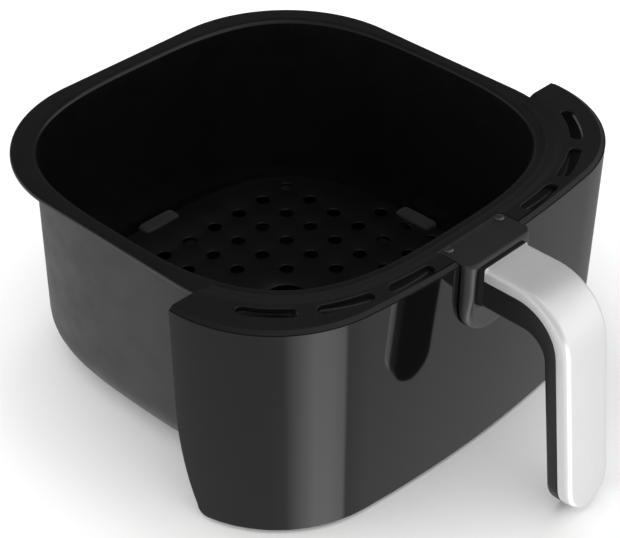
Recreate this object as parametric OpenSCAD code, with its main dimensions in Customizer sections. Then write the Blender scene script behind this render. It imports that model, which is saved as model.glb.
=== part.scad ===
// Pull-out drawer of an air fryer: a deep pan with a rounded-square mouth, a vented top frame,
// a curved front panel and a right-angled handle, with a crisper plate that lifts out.
// Z = 0 is the table, the pan's centre is on the Z axis, and the handle points along -Y.

/* [Pan] */
// Width of the rim from side to side
rim_w = 251; // [230:1:260]
// Reach of the rim behind the pan's centre
rim_back = 125.6; // [119:0.2:140]
// Reach of the rim in front of the pan's centre
rim_front = 132; // [126:1:134]
// Corner radius of the rim
rim_r = 80; // [60:1:90]
// Width of the pan over its walls, just under the rolled lip
mouth_w = 235; // [190:1:240]
// Depth of the pan over its walls, front to back
mouth_d = 231; // [190:1:236]
// Squareness of the pan: 2 is an ellipse, larger is squarer
mouth_n = 3.1; // [2.6:0.1:3.8]
// Height of the rim above the table
pan_h = 124.5; // [100:0.5:150]
// Thickness of the pan's sheet
wall_t = 1.2; // [1:0.1:2]
// Draft of the pan's walls, in degrees
pan_draft = 0.2; // [0:0.1:2]
// Outer radius between the pan's wall and base
base_r = 25.5; // [12:0.5:30]
// Radius of the lip between the wall and the rim
lip_r = 2.5; // [2:0.1:4]
// Depth of the rim's turned-down edge
rim_edge = 2.4; // [2:0.1:5]

/* [Crisper plate] */
// Height of the plate's underside above the pan's floor
plate_lift = 17; // [10:1:24]
// Thickness of the plate's sheet
plate_t = 1.5; // [1:0.1:2]
// Gap from the plate's edge to the pan's wall
plate_gap = 3.5; // [3:0.1:5]
// Diameter of the holes in the plate
hole_d = 8; // [5:0.5:10]
// Distance between the holes
hole_pitch = 20; // [16:1:28]
// Diameter of the finger hole in the plate's middle
finger_hole_d = 26; // [20:1:32]
// Width of each leg under the plate
leg_w = 24; // [14:1:34]
// Distance of each leg from the plate's centre
leg_reach = 84; // [60:1:88]
// Width of each silicone bumper along the plate's edge
bumper_w = 26; // [16:1:36]
// Thickness of each bumper's lips above and below the plate
bumper_lip = 2; // [1.5:0.1:3]

/* [Front panel] */
// Width of the panel across its two wings
panel_w = 286; // [270:1:310]
// Distance of the panel's middle from the pan's centre, at its top
panel_front = 141; // [140:1:160]
// Corner radius of the panel
panel_r = 70; // [50:1:72]
// Place of the wings' rear edges in front of the pan's centre
wing_y = 66.4; // [50:0.1:67]
// Thickness of the panel's wall
panel_t = 3; // [2:0.1:4]
// Gap under the panel
panel_foot = 2.4; // [0.5:0.1:3]
// Panel size at its foot, as a share of its size at the top
panel_taper = 0.985; // [0.97:0.001:1]
// Radius that sweeps the wings' lower rear edges forward
wing_sweep = 177; // [100:1:220]
// Height at which that sweep starts
sweep_z = 68; // [50:1:80]

/* [Vent frame] */
// Thickness of the frame above the rim
frame_t = 2.7; // [2.2:0.1:4]
// Step at the frame's edges: height of its lower layer
frame_step = 1; // [0.8:0.1:1.4]
// Distance of the frame's inner edge from the mouth
frame_gap = 4; // [3:0.1:6]
// Width of the frame's low inner band
frame_band = 8; // [4:0.5:10]
// Distance of the frame's top from the panel's face
frame_inset = 1.6; // [1:0.1:2.4]
// Distance from the mouth to the middle of the vent slots
slot_out = 19.5; // [17:0.5:21]
// Width of a vent slot
slot_w = 6.6; // [4:0.1:7]
// Angle of the first slot's near end centre, from the side of the pan
slot_start = 37.4; // [35:0.1:40]
// Angle from one slot to the next
slot_step = 14.2; // [13:0.1:14.5]
// Angle between the centres of a slot's two ends
slot_span = 8.5; // [6:0.1:10]

/* [Handle] */
// Width of the handle
handle_w = 32; // [26:1:40]
// Distance of the grip's top outer corner from the pan's centre
grip_y = 198.6; // [190:0.1:225]
// Lean of the grip away from the panel, in degrees
grip_lean = 6.6; // [0:0.1:10]
// Outer radius of the handle's bend
bend_r = 33; // [30:1:40]
// Height of the grip's tip above the table
tip_z = 2; // [1:0.5:20]
// Thickness of the outer cover
cover_t = 7.5; // [6:0.1:10]
// Thickness of the grip, cover included
grip_t = 14.8; // [14:0.1:20]
// Thickness of the arm, cover included
arm_t = 23; // [20:0.5:28]
// Radius inside the bend
inner_bend_r = 14; // [8:1:16]
// Height of the inner half's lower end above the grip's tip
inner_end = 0.5; // [0:0.5:10]
// Width of the steel core
core_w = 18; // [12:0.5:22]
// Thickness of the steel core
core_t = 3; // [2:0.1:4]

/* [Handle base] */
// Width of the base and its tongue
base_w = 46.5; // [44:0.5:60]
// Thickness of the tongue in front of the panel
tongue_t = 8; // [7:0.5:12]
// Drop of the tongue below the rim
tongue_drop = 45; // [43:0.5:60]
// Distance of the base's rear edge from the pan's centre
base_back = 119; // [118.8:0.1:124]
// Distance between the two screws on the base
base_screw_gap = 38; // [26:1:40]
// Distance of those screws from the pan's centre
base_screw_y = 129.3; // [127:0.1:132]

/* [Fasteners] */
// Diameter of the base screws' heads
screw_head_d = 5.2; // [4:0.1:6]
// Diameter of the base screws' shanks
screw_d = 2.6; // [2:0.1:3]
// Diameter of the bolts that hold the handle
bolt_d = 5; // [4:0.1:6]
// Diameter of the studs welded to the pan's front wall
stud_d = 4; // [3:0.1:5]

/* [Bracket and shield] */
// Width of the bracket across its two flanges
bracket_w = 80; // [72:1:90]
// Width of the bracket's raised middle
bracket_web = 50; // [44:1:52]
// Height of the bracket
bracket_h = 66; // [56:1:80]
// Thickness of the bracket's sheet
bracket_t = 1.5; // [1:0.1:2.5]
// Width of the heat shield
shield_w = 170; // [120:1:180]
// Gap between the heat shield and the rim above it
shield_gap = 8.5; // [4:0.5:30]
// Thickness of the heat shield
shield_t = 0.8; // [0.5:0.1:1.2]
// Drop of the interlock tab below the frame
tab_drop = 18; // [10:1:30]

/* [Clearances] */
// Gap between pieces that are fitted together without touching
fit_gap = 0.3; // [0.2:0.05:0.5]
// Gap under the crisper plate's legs, where it stands
stand_gap = 0.3; // [0.2:0.05:0.5]

/* [Hidden] */
$fn = 48;
eps = 0.01;
ring_count = 72;
frame_top = pan_h + frame_t;
panel_top = pan_h + frame_step;

// Radius at angle t of a superellipse with half sizes a and b
function oval_r(t, a, b) =
    pow(pow(abs(cos(t)) / a, mouth_n) + pow(abs(sin(t)) / b, mouth_n), -1 / mouth_n);

// Radius at angle t of a rounded rectangle: where a ray meets its side, its end or its corner arc
function ray_corner(t, cx, cy, r) =
    let (c = cx * cos(t) + cy * sin(t))
    c + sqrt(max(0, c * c - cx * cx - cy * cy + r * r));
function rounded_r(t, hx, hy, r) =
    let (
        c = abs(cos(t)),
        s = abs(sin(t)),
        side = hx / max(c, eps / hx),
        end = hy / max(s, eps / hy)
    )
    side * s <= hy - r ? side
    : end * c <= hx - r ? end
    : ray_corner(atan2(s, c), hx - r, hy - r, r);

// One ring of points at height z: an oval or the rim's outline, drawn in by inset
function oval_ring(inset, z) = [
    for (i = [0 : ring_count - 1])
        let (t = i * 360 / ring_count, r = oval_r(t, mouth_w / 2 - inset, mouth_d / 2 - inset))
        [r * cos(t), r * sin(t), z]
];
function rim_ring(inset, z) = [
    for (i = [0 : ring_count - 1])
        let (
            t = i * 360 / ring_count,
            reach = t > 180 ? rim_front : rim_back,
            r = rounded_r(t, rim_w / 2 - inset, reach - inset, rim_r - inset)
        )
        [r * cos(t), r * sin(t), z]
];

// A closed skin through a list of rings, capped at both ends
module skin(rings) {
    n = len(rings[0]);
    last = len(rings) - 1;
    sides = [
        for (k = [0 : last - 1], i = [0 : n - 1])
            let (a = k * n + i, b = k * n + (i + 1) % n)
            each [[a, b + n, b], [a, a + n, b + n]]
    ];
    start = [[for (i = [0 : n - 1]) i]];
    finish = [[for (i = [n - 1 : -1 : 0]) last * n + i]];
    polyhedron(concat([for (r = rings) each r]), concat(sides, start, finish), convexity = 8);
}

// How far the inner wall at height z stands inside the outer wall's top
function wall_inset(z) = wall_t + (pan_h - lip_r - z) * tan(pan_draft);
floor_r = base_r - wall_t;
function floor_ring(t) =
    oval_ring(wall_inset(base_r) + floor_r * (1 - sin(t)), wall_t + floor_r * (1 - cos(t)));
function base_ring(t) =
    oval_ring(wall_inset(base_r) - wall_t + base_r * (1 - sin(t)), base_r * (1 - cos(t)));
function lip_ring(t, r) =
    oval_ring(wall_t - lip_r + r * cos(t), pan_h - lip_r + r * sin(t));

module pan() {
    color([0.06, 0.06, 0.06])
    skin(concat(
        [for (t = [0 : 15 : 90]) floor_ring(t)],
        [for (t = [0 : 22.5 : 90]) lip_ring(t, lip_r)],
        [rim_ring(rim_edge / 2, pan_h), rim_ring(0.4, pan_h - 0.5), rim_ring(0, pan_h - rim_edge / 2)],
        [rim_ring(0, pan_h - rim_edge), rim_ring(wall_t, pan_h - rim_edge)],
        [rim_ring(wall_t, pan_h - wall_t)],
        [for (t = [90 : -30 : 0]) lip_ring(t, lip_r - wall_t)],
        [for (t = [90 : -15 : 0]) base_ring(t)]
    ));
}

// ---- Panel outline: a gently bowed front, two corner arcs and straight wing ends ----
corner_x = panel_w / 2 - panel_r;
bow_d = panel_front - wing_y;
bow_r = (corner_x * corner_x + bow_d * bow_d - panel_r * panel_r) / (2 * (bow_d - panel_r));
bow_y = bow_r - panel_front;
bow_half = atan2(corner_x, bow_y + wing_y);

// Right half of the outline, from the front's middle to the wing's end, drawn in by inset
function half_outline(inset) = concat(
    [for (i = [0 : 8]) let (t = bow_half * i / 8)
        [(bow_r - inset) * sin(t), bow_y - (bow_r - inset) * cos(t)]],
    [for (i = [1 : 20]) let (t = bow_half + (90 - bow_half) * i / 20)
        [corner_x + (panel_r - inset) * sin(t), -wing_y - (panel_r - inset) * cos(t)]]
);
function outline(inset, rear) =
    let (h = half_outline(inset), n = len(h))
    concat(
        [for (i = [n - 1 : -1 : 1]) [-h[i][0], h[i][1]]],
        h,
        [[h[n - 1][0], -rear], [-h[n - 1][0], -rear]]
    );

module oval(grow) {
    polygon([
        for (i = [0 : ring_count - 1])
            let (t = i * 360 / ring_count, r = oval_r(t, mouth_w / 2 + grow, mouth_d / 2 + grow))
            [r * cos(t), r * sin(t)]
    ]);
}

// A cylinder along Y, centred on its axis, from y0 towards -Y
module bar_y(d, len, x, y0, z) {
    translate([x, y0, z]) rotate([90, 0, 0]) cylinder(d = d, h = len);
}

module both_sides() {
    children();
    mirror([1, 0, 0]) children();
}

// ---- Front panel ----
panel_h = panel_top - panel_foot;
foot_r = 6;

// Side view of the panel: straight behind, swept forward below, with a small foot radius
function sweep_y(z) = -wing_y + wing_sweep * (sqrt(1 - pow((sweep_z - z) / wing_sweep, 2)) - 1);
module panel_side() {
    heights = [for (i = [0 : 8]) sweep_z + (foot_r + panel_foot - sweep_z) * i / 8];
    toe_y = sweep_y(foot_r + panel_foot);
    polygon(concat(
        [[-panel_front - 5, panel_top + 1], [-wing_y, panel_top + 1]],
        [for (z = heights) [sweep_y(z), z]],
        [for (t = [20 : 10 : 90]) [toe_y - foot_r * (1 - cos(t)), panel_foot + foot_r * (1 - sin(t))]],
        [[-panel_front - 5, panel_foot]]
    ));
}

module panel_shape(inset, rear, extra) {
    translate([0, 0, panel_top + extra])
    mirror([0, 0, 1])
    linear_extrude(height = panel_h + 2 * extra, scale = panel_taper)
    polygon(outline(inset, rear));
}

// Where the two handle bolts pass through the panel, and how deep they sit
bolt_z = [pan_h - 14, pan_h - 34];
sleeve_d = bolt_d + 5;
bracket_y = mouth_d / 2 + fit_gap;
post_l = 6;
bracket_face = panel_front - panel_t - post_l;

module front_panel() {
    color([0.12, 0.12, 0.12])
    difference() {
        intersection() {
            panel_shape(0, wing_y, 0);
            translate([-panel_w, 0, 0])
            rotate([90, 0, 90])
            linear_extrude(height = 2 * panel_w)
            panel_side();
        }
        panel_shape(panel_t, wing_y - 20, 1);
        for (z = bolt_z)
            bar_y(sleeve_d + 2 * fit_gap, 20, 0, -panel_front + 10, z);
    }
}

// Posts behind the panel: pairs for the bracket's screws and pairs for the heat shield's
boss_x = bracket_web / 2 - 6;
boss_z = [pan_h - 24, pan_h - 62];
post_d = 7;
post_hole = 3;
screw_head_h = 1.6;
shield_y = bracket_face - 10;
shield_z = panel_foot + 8;
shield_h = pan_h - rim_edge - shield_gap - shield_z;
shield_screw_z = [shield_z + 10, shield_z + shield_h - 16];
module bracket_screw_places() {
    for (side = [-1, 1], z = boss_z)
        translate([side * boss_x, -bracket_face, z]) children();
}
module shield_screw_places() {
    for (side = [-1, 1], z = shield_screw_z)
        translate([side * (shield_w / 2 - 8), -shield_y, z]) children();
}
module post() {
    difference() {
        bar_y(post_d, 24, 0, 0, 0);
        bar_y(screw_d, post_hole + 1, 0, 0.5, 0);
    }
}
module panel_bosses() {
    color([0.15, 0.15, 0.15])
    difference() {
        union() {
            bracket_screw_places() post();
            shield_screw_places() post();
        }
        panel_shadow();
    }
}

// Everything from the panel's inner face outwards
module panel_shadow() {
    difference() {
        translate([-panel_w, -2 * panel_front, panel_foot])
            cube([2 * panel_w, 2 * panel_front, panel_h]);
        panel_shape(panel_t, wing_y - 20, 1);
    }
}

// A screw along -Y whose head rests behind a sheet of the given thickness
module sheet_screw(sheet) {
    bar_y(screw_d, sheet + post_hole, 0, sheet, 0);
    bar_y(screw_head_d, screw_head_h, 0, sheet + screw_head_h, 0);
}
module panel_screws() {
    color("silver")
    bracket_screw_places() sheet_screw(bracket_t);
}

// ---- Bracket: a hat section whose flanges meet the pan and whose middle carries the handle ----
bracket_z = pan_h - 8 - bracket_h;
web_x = bracket_web / 2;
module pan_bracket() {
    color("gray")
    difference() {
        union() {
            translate([-web_x, -bracket_face, bracket_z])
                cube([2 * web_x, bracket_t, bracket_h]);
            both_sides() {
                translate([web_x - bracket_t, -bracket_face, bracket_z])
                    cube([bracket_t, bracket_face - bracket_y, bracket_h]);
                translate([web_x - bracket_t, -bracket_y - bracket_t, bracket_z])
                    cube([bracket_w / 2 - web_x + bracket_t, bracket_t, bracket_h]);
            }
        }
        stud_places() bar_y(stud_d, 8, 0, -bracket_y + 4, 0);
        bracket_screw_places() bar_y(screw_d + 2 * fit_gap, 8, 0, 4, 0);
        for (z = bolt_z)
            bar_y(bolt_d + 2 * fit_gap, 8, 0, -bracket_face + 4, z);
    }
}

// ---- Studs welded to the pan, with the bracket's flanges clenched under their heads ----
stud_x = (bracket_w / 2 + web_x) / 2;
module stud_places() {
    for (side = [-1, 1], z = [bracket_z + 8, bracket_z + bracket_h - 8])
        translate([side * stud_x, 0, z]) children();
}
// Distance of the pan's outer wall in front of its centre, at height z and x from the middle
function wall_y(x, z) =
    let (a = mouth_w / 2 - wall_inset(z) + wall_t, b = mouth_d / 2 - wall_inset(z) + wall_t)
    b * pow(1 - pow(x / a, mouth_n), 1 / mouth_n);
stud_root = wall_y(stud_x, bracket_z + 8) - wall_t / 2;
module weld_studs() {
    color("silver")
    stud_places() {
        bar_y(stud_d, bracket_y + bracket_t - stud_root + 0.5, 0, -stud_root, 0);
        bar_y(stud_d + 3, 1.2, 0, -bracket_y - bracket_t, 0);
    }
}

// ---- Heat shield between the pan and the panel ----
module heat_shield() {
    color("lightgray")
    difference() {
        translate([-shield_w / 2, -shield_y, shield_z])
            cube([shield_w, shield_t, shield_h]);
        translate([-web_x - 2, -shield_y - 5, bracket_z - 2])
            cube([2 * web_x + 4, 10, 2 * bracket_h]);
        shield_screw_places() bar_y(screw_d + 2 * fit_gap, 6, 0, 3, 0);
    }
}
module shield_screws() {
    color("silver")
    shield_screw_places() sheet_screw(shield_t);
}

// ---- Vent frame ----
slot_ends = [for (i = [0 : 2]) [slot_start + i * slot_step, slot_start + i * slot_step + slot_span]];
function slot_point(t) =
    let (r = oval_r(t, mouth_w / 2 + slot_out, mouth_d / 2 + slot_out - 1.5))
    [r * cos(t), -r * sin(t)];
function slot_side(t, half) =
    let (a = slot_point(t - 0.5), b = slot_point(t + 0.5), d = (b - a) / norm(b - a))
    slot_point(t) + half * [-d[1], d[0]];
module slot_cut(ends) {
    steps = [for (i = [0 : 6]) ends[0] + (ends[1] - ends[0]) * i / 6];
    linear_extrude(height = frame_t + 4)
    polygon(concat(
        [for (t = steps) slot_side(t, slot_w / 2)],
        [for (i = [6 : -1 : 0]) slot_side(steps[i], -slot_w / 2)]
    ));
    for (t = ends)
        translate([slot_point(t)[0], slot_point(t)[1], 0])
            cylinder(d = slot_w, h = frame_t + 4);
}
module frame_layer(z, h, inset, grow) {
    translate([0, 0, z])
    linear_extrude(height = h)
    difference() {
        polygon(outline(inset, wing_y));
        oval(grow);
    }
}
module vent_frame() {
    color([0.11, 0.11, 0.11])
    difference() {
        union() {
            frame_layer(pan_h, frame_step, panel_t + fit_gap, frame_gap);
            frame_layer(panel_top, frame_t - frame_step, frame_inset, frame_gap + frame_band);
        }
        translate([-base_w / 2 - fit_gap, -2 * panel_front, panel_top])
            cube([base_w + 2 * fit_gap, 2 * panel_front - base_back + fit_gap, frame_t]);
        base_screw_places() cylinder(d = screw_d, h = frame_t + 2);
        both_sides()
        for (e = slot_ends)
            translate([0, 0, pan_h - 1]) slot_cut(e);
    }
}

// Tab under the left wing that works the safety switch in the machine
tab_t = 5;
tab_l = 14;
module interlock_tab() {
    color([0.11, 0.11, 0.11])
    translate([-panel_w / 2 + panel_t + 2 * tab_t + 1, -wing_y - 3, pan_h - tab_drop])
    rotate([90, 0, -90])
    linear_extrude(height = tab_t)
    polygon([[0, tab_drop], [0, tab_t], [tab_t, 0], [tab_l, 0], [tab_l, tab_drop]]);
}

// ---- Handle base: a saddle over the frame with a tongue down the panel ----
tongue_z = pan_h - tongue_drop + base_w / 2;
tongue_back = panel_front + 0.1;
foot_w = core_w + 2 * fit_gap;
core_z = pan_h - cover_t - fit_gap;
module handle_base() {
    color([0.2, 0.2, 0.2])
    difference() {
        union() {
            translate([0, -tongue_back, 0]) rotate([90, 0, 0])
                linear_extrude(height = tongue_t) tongue_outline();
            translate([-base_w / 2, -tongue_back - 1, panel_top])
                cube([base_w, tongue_back + 1 - base_back, frame_t - frame_step]);
        }
        translate([-foot_w / 2, -tongue_back - core_t - fit_gap, core_foot_z - fit_gap])
            cube([foot_w, core_t + fit_gap + 1, core_z + 2 * fit_gap - core_foot_z]);
        translate([-foot_w / 2, -tongue_back - tongue_t - 1, core_z - core_t - fit_gap])
            cube([foot_w, tongue_t + 2, core_t + 2 * fit_gap]);
        base_screw_places() cylinder(d = screw_d, h = frame_t + 2);
    }
}
module base_screw_places() {
    both_sides()
    translate([base_screw_gap / 2, -base_screw_y, pan_h]) children();
}
module tongue_outline() {
    union() {
        translate([0, tongue_z]) circle(d = base_w, $fn = 96);
        translate([-base_w / 2, tongue_z]) square([base_w, frame_top - tongue_z]);
    }
}

module base_screws() {
    color("dimgray")
    base_screw_places() {
        cylinder(d = screw_d, h = frame_t);
        translate([0, 0, frame_t])
        difference() {
            rotate_extrude() polygon([
                [0, 0], [screw_head_d / 2, 0], [screw_head_d / 2, 0.5],
                [screw_head_d / 2 - 0.5, 1.1], [0, 1.5]
            ]);
            for (a = [0, 90])
                rotate([0, 0, a]) translate([-1.3, -0.3, 0.8]) cube([2.6, 0.6, 1]);
        }
    }
}

// ---- Handle bolts, from inside the bracket into the core's foot ----
core_foot_z = bolt_z[1] - 7;
washer_t = 1.2;
bolt_start = bracket_face - bracket_t - washer_t;
module handle_bolts() {
    color("silver")
    for (z = bolt_z)
        difference() {
            union() {
                bar_y(bolt_d, tongue_back + core_t - bolt_start, 0, -bolt_start, z);
                bar_y(bolt_d * 1.8, 3.5, 0, -bolt_start + 3.5, z);
            }
            bar_y(bolt_d * 0.9, 2.2, 0, -bolt_start + 3.5 + eps, z, $fn = 6);
        }
}
module bolt_washers() {
    color("silver")
    for (z = bolt_z)
        difference() {
            bar_y(bolt_d * 2.1, washer_t, 0, -bolt_start, z);
            bar_y(bolt_d + 2 * fit_gap, 10, 0, -bolt_start + 3, z);
        }
}

// Sleeves that carry the clamping force through the panel
module bolt_sleeves() {
    color("silver")
    for (z = bolt_z)
        difference() {
            bar_y(sleeve_d, tongue_back - bracket_face, 0, -bracket_face, z);
            bar_y(bolt_d + 2 * fit_gap, 20, 0, -bracket_face + 5, z);
        }
}

// ---- Handle: layers measured inwards from its outer surface ----
handle_root = tongue_back + tongue_t;
bend_z = pan_h - bend_r;
bend_y = grip_y - bend_r * tan(45 - grip_lean / 2);
// Place on the grip, s along it from the bend's height down, d inwards from its outer face
function grip_point(z, d) = [-grip_y - (pan_h - z) * tan(grip_lean) + d / cos(grip_lean), z];
// Side view of a surface that lies d inside the handle's outer surface
function handle_line(d, root, end) = concat(
    [[-root, pan_h - d]],
    [for (i = [0 : 10]) let (t = (90 - grip_lean) * i / 10)
        [-bend_y - (bend_r - d) * sin(t), bend_z + (bend_r - d) * cos(t)]],
    [grip_point(end, d)]
);
function flip(list) = [for (i = [len(list) - 1 : -1 : 0]) list[i]];
module handle_slab(points, w) {
    translate([-w / 2, 0, 0]) rotate([90, 0, 90]) linear_extrude(height = w) polygon(points);
}
// Front view of the handle: straight sides and a round tip
module handle_front(z, w) {
    translate([0, -handle_root + 1, 0])
    rotate([90, 0, 0])
    linear_extrude(height = 2 * grip_y)
    union() {
        translate([0, z + w / 2]) circle(d = w, $fn = 96);
        translate([-w / 2, z + w / 2]) square([w, pan_h - z]);
    }
}

module handle_cover() {
    color([0.8, 0.8, 0.8])
    difference() {
        intersection() {
            handle_slab(concat(
                handle_line(0, handle_root + 0.5, tip_z),
                flip(handle_line(cover_t, handle_root + 0.5, tip_z))
            ), handle_w);
            handle_front(tip_z, handle_w);
        }
        handle_screw_places()
        translate([0, 0, cover_t - grip_screw_bite])
            cylinder(d = screw_d, h = grip_t);
    }
}

inner_tip = tip_z + inner_end;
arm_under = pan_h - arm_t;
inner_y = grip_y + arm_t * tan(grip_lean) - grip_t / cos(grip_lean);
in_bend_y = inner_y - inner_bend_r * tan(45 - grip_lean / 2);
function under_line() = concat(
    [[-handle_root, arm_under]],
    [for (i = [0 : 8]) let (t = (90 - grip_lean) * i / 8)
        [-in_bend_y - inner_bend_r * sin(t), arm_under - inner_bend_r * (1 - cos(t))]],
    [grip_point(inner_tip, grip_t)]
);
module handle_inner() {
    color([0.14, 0.14, 0.14])
    difference() {
        intersection() {
            handle_slab(concat(
                handle_line(cover_t, handle_root, inner_tip),
                flip(under_line())
            ), handle_w);
            handle_front(inner_tip, handle_w);
        }
        core_slab(fit_gap);
        handle_screw_places() cylinder(d = insert_d, h = 3 * grip_t, center = true);
    }
}

// ---- Steel core: an L-shaped strap with a foot behind the base ----
core_end = tip_z + 26;
module core_slab(gap) {
    handle_slab(concat(
        handle_line(cover_t + eps, handle_root - 1, core_end - gap),
        flip(handle_line(cover_t + fit_gap + core_t + gap, handle_root - 1, core_end - gap))
    ), core_w + 2 * gap);
}
module handle_core() {
    color("silver")
    difference() {
        union() {
            handle_slab(concat(
                handle_line(cover_t + fit_gap, tongue_back, core_end),
                flip(handle_line(cover_t + fit_gap + core_t, tongue_back, core_end))
            ), core_w);
            translate([-core_w / 2, -tongue_back - core_t, core_foot_z])
                cube([core_w, core_t, core_z - core_foot_z]);
        }
        for (z = bolt_z)
            bar_y(bolt_d, 20, 0, -tongue_back + 5, z);
        handle_screw_places() cylinder(d = screw_d + 2 * fit_gap, h = 3 * grip_t, center = true);
    }
}

// ---- Screws that hold the two halves of the grip, in brass inserts ----
screw_z = [core_end + 12, bend_z - 12];
insert_d = 5.4;
insert_l = 2;
insert_depth = cover_t + fit_gap + core_t + fit_gap;
grip_screw_bite = 3;
module handle_screw_places() {
    for (z = screw_z)
        let (p = grip_point(z, 0))
        translate([0, p[0], p[1]]) rotate([-90 - grip_lean, 0, 0]) children();
}
module handle_inserts() {
    color("goldenrod")
    handle_screw_places()
    translate([0, 0, insert_depth])
    difference() {
        cylinder(d = insert_d, h = insert_l);
        translate([0, 0, -1]) cylinder(d = screw_d, h = 5);
    }
}
module handle_screws() {
    color("dimgray")
    handle_screw_places() {
        translate([0, 0, cover_t - grip_screw_bite])
            cylinder(d = screw_d, h = insert_depth + insert_l + 0.5 - cover_t + grip_screw_bite);
        translate([0, 0, insert_depth + insert_l])
        difference() {
            cylinder(d = insert_d - 2 * fit_gap, h = 1.2);
            translate([-1.5, -0.3, 0.6]) cube([3, 0.6, 1]);
            translate([-0.3, -1.5, 0.6]) cube([0.6, 3, 1]);
        }
    }
}

// ---- Crisper plate and its bumpers ----
plate_z = wall_t + plate_lift;
plate_drop = max(0, base_r - plate_z);
floor_curve = floor_r - sqrt(floor_r * floor_r - plate_drop * plate_drop);
plate_inset = wall_inset(base_r) + floor_curve + plate_gap;
hole_count = floor((mouth_w / 2 - plate_inset - hole_d) / hole_pitch);
function hole_fits(x, y) =
    let (r = norm([x, y]), t = atan2(y, x))
    r < oval_r(t, mouth_w / 2 - plate_inset, mouth_d / 2 - plate_inset) - hole_d * 1.4
    && r > (finger_hole_d + hole_d) / 2 + 3;
module plate_outline() {
    oval(-plate_inset);
}
module crisper_plate() {
    color([0.08, 0.08, 0.08])
    difference() {
        union() {
            translate([0, 0, plate_z]) linear_extrude(height = plate_t) plate_outline();
            for (a = [0 : 90 : 270])
                rotate([0, 0, a])
                translate([leg_reach, -leg_w / 2, wall_t + stand_gap])
                    cube([plate_t, leg_w, plate_lift - stand_gap + eps]);
        }
        translate([0, 0, plate_z - 1]) {
            cylinder(d = finger_hole_d, h = plate_t + 2);
            for (ix = [-hole_count : hole_count], iy = [-hole_count : hole_count])
                if (hole_fits(ix * hole_pitch, iy * hole_pitch))
                    translate([ix * hole_pitch, iy * hole_pitch, 0])
                        cylinder(d = hole_d, h = plate_t + 2, $fn = 24);
        }
    }
}

bumper_out = plate_gap - stand_gap;
bumper_in = 7;
module bumper(edge, angle) {
    color([0.25, 0.25, 0.25])
    difference() {
        rotate([0, 0, angle])
        translate([edge - bumper_in, -bumper_w / 2, plate_z - bumper_lip])
            cube([bumper_in + bumper_out - 1, bumper_w, plate_t + 2 * bumper_lip]);
        translate([0, 0, plate_z]) linear_extrude(height = plate_t) plate_outline();
    }
}
plate_x = mouth_w / 2 - plate_inset;
plate_y = mouth_d / 2 - plate_inset;
module bumper_front() { bumper(plate_y, 270); }
module bumper_back() { bumper(plate_y, 90); }
module bumper_left() { bumper(plate_x, 180); }
module bumper_right() { bumper(plate_x, 0); }

pan();
pan_bracket();
weld_studs();
heat_shield();
shield_screws();
vent_frame();
front_panel();
panel_bosses();
panel_screws();
interlock_tab();
handle_base();
base_screws();
handle_bolts();
bolt_washers();
bolt_sleeves();
handle_core();
handle_inner();
handle_cover();
handle_screws();
handle_inserts();
crisper_plate();
bumper_front();
bumper_back();
bumper_left();
bumper_right();
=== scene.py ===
"""Finished surfaces, materials and studio for the pull-out drawer of an air fryer.

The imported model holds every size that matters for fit. This add-on dresses it: each operator
makes one piece, or one group of like pieces, as a surface worked out with numpy, and gives it a
procedural material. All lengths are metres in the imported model's own frame: Z = 0 is the table,
the pan's centre is on the Z axis and the handle points along -Y.
"""

import bmesh
import bpy
import numpy as np
from bpy.props import FloatProperty, FloatVectorProperty, PointerProperty
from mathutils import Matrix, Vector
from mathutils.geometry import delaunay_2d_cdt


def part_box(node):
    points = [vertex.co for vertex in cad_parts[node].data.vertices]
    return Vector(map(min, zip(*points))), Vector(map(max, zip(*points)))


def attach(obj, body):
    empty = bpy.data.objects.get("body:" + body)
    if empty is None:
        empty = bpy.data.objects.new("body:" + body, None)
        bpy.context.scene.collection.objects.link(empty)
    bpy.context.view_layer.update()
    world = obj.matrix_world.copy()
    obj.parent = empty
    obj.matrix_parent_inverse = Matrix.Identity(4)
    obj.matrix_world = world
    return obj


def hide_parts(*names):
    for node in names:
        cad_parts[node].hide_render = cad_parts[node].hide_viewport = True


bl_info = {
    "name": "Air fryer drawer",
    "version": (1, 0, 0),
    "blender": (4, 5, 0),
    "location": "3D View > Sidebar > Drawer",
    "description": "Builds the finished drawer round its packed model",
    "category": "Object",
}

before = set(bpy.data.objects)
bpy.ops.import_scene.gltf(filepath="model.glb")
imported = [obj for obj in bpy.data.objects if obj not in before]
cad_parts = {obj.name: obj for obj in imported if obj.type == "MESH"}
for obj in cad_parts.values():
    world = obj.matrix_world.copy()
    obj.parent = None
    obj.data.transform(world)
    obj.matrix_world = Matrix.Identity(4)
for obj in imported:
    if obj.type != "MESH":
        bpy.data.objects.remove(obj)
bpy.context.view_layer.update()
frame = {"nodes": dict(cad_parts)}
MM = 0.001

PAN_LOW, PAN_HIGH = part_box("pan")
PANEL_LOW, PANEL_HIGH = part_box("front_panel")
FRAME_LOW, FRAME_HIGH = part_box("vent_frame")
BASE_LOW, BASE_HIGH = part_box("handle_base")
COVER_LOW, COVER_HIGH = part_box("handle_cover")
INNER_LOW, INNER_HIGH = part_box("handle_inner")
PLATE_LOW, PLATE_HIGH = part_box("crisper_plate")
SCREWS_LOW, SCREWS_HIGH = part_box("base_screws")


# ---------------------------------------------------------------- sizes and colours

def length(name, text, default_mm):
    """A length property whose default is given in millimetres."""
    return FloatProperty(name=name, description=text, default=default_mm * MM,
                         unit="LENGTH", precision=5)


def degrees(name, text, default_deg):
    """An angle property whose default is given in degrees."""
    return FloatProperty(name=name, description=text, default=np.radians(default_deg),
                         subtype="ANGLE", unit="ROTATION")


def colour(name, text, rgb):
    """A colour property in linear light."""
    return FloatVectorProperty(name=name, description=text, default=(*rgb, 1.0),
                               subtype="COLOR", size=4, min=0.0, max=1.0)


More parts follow.
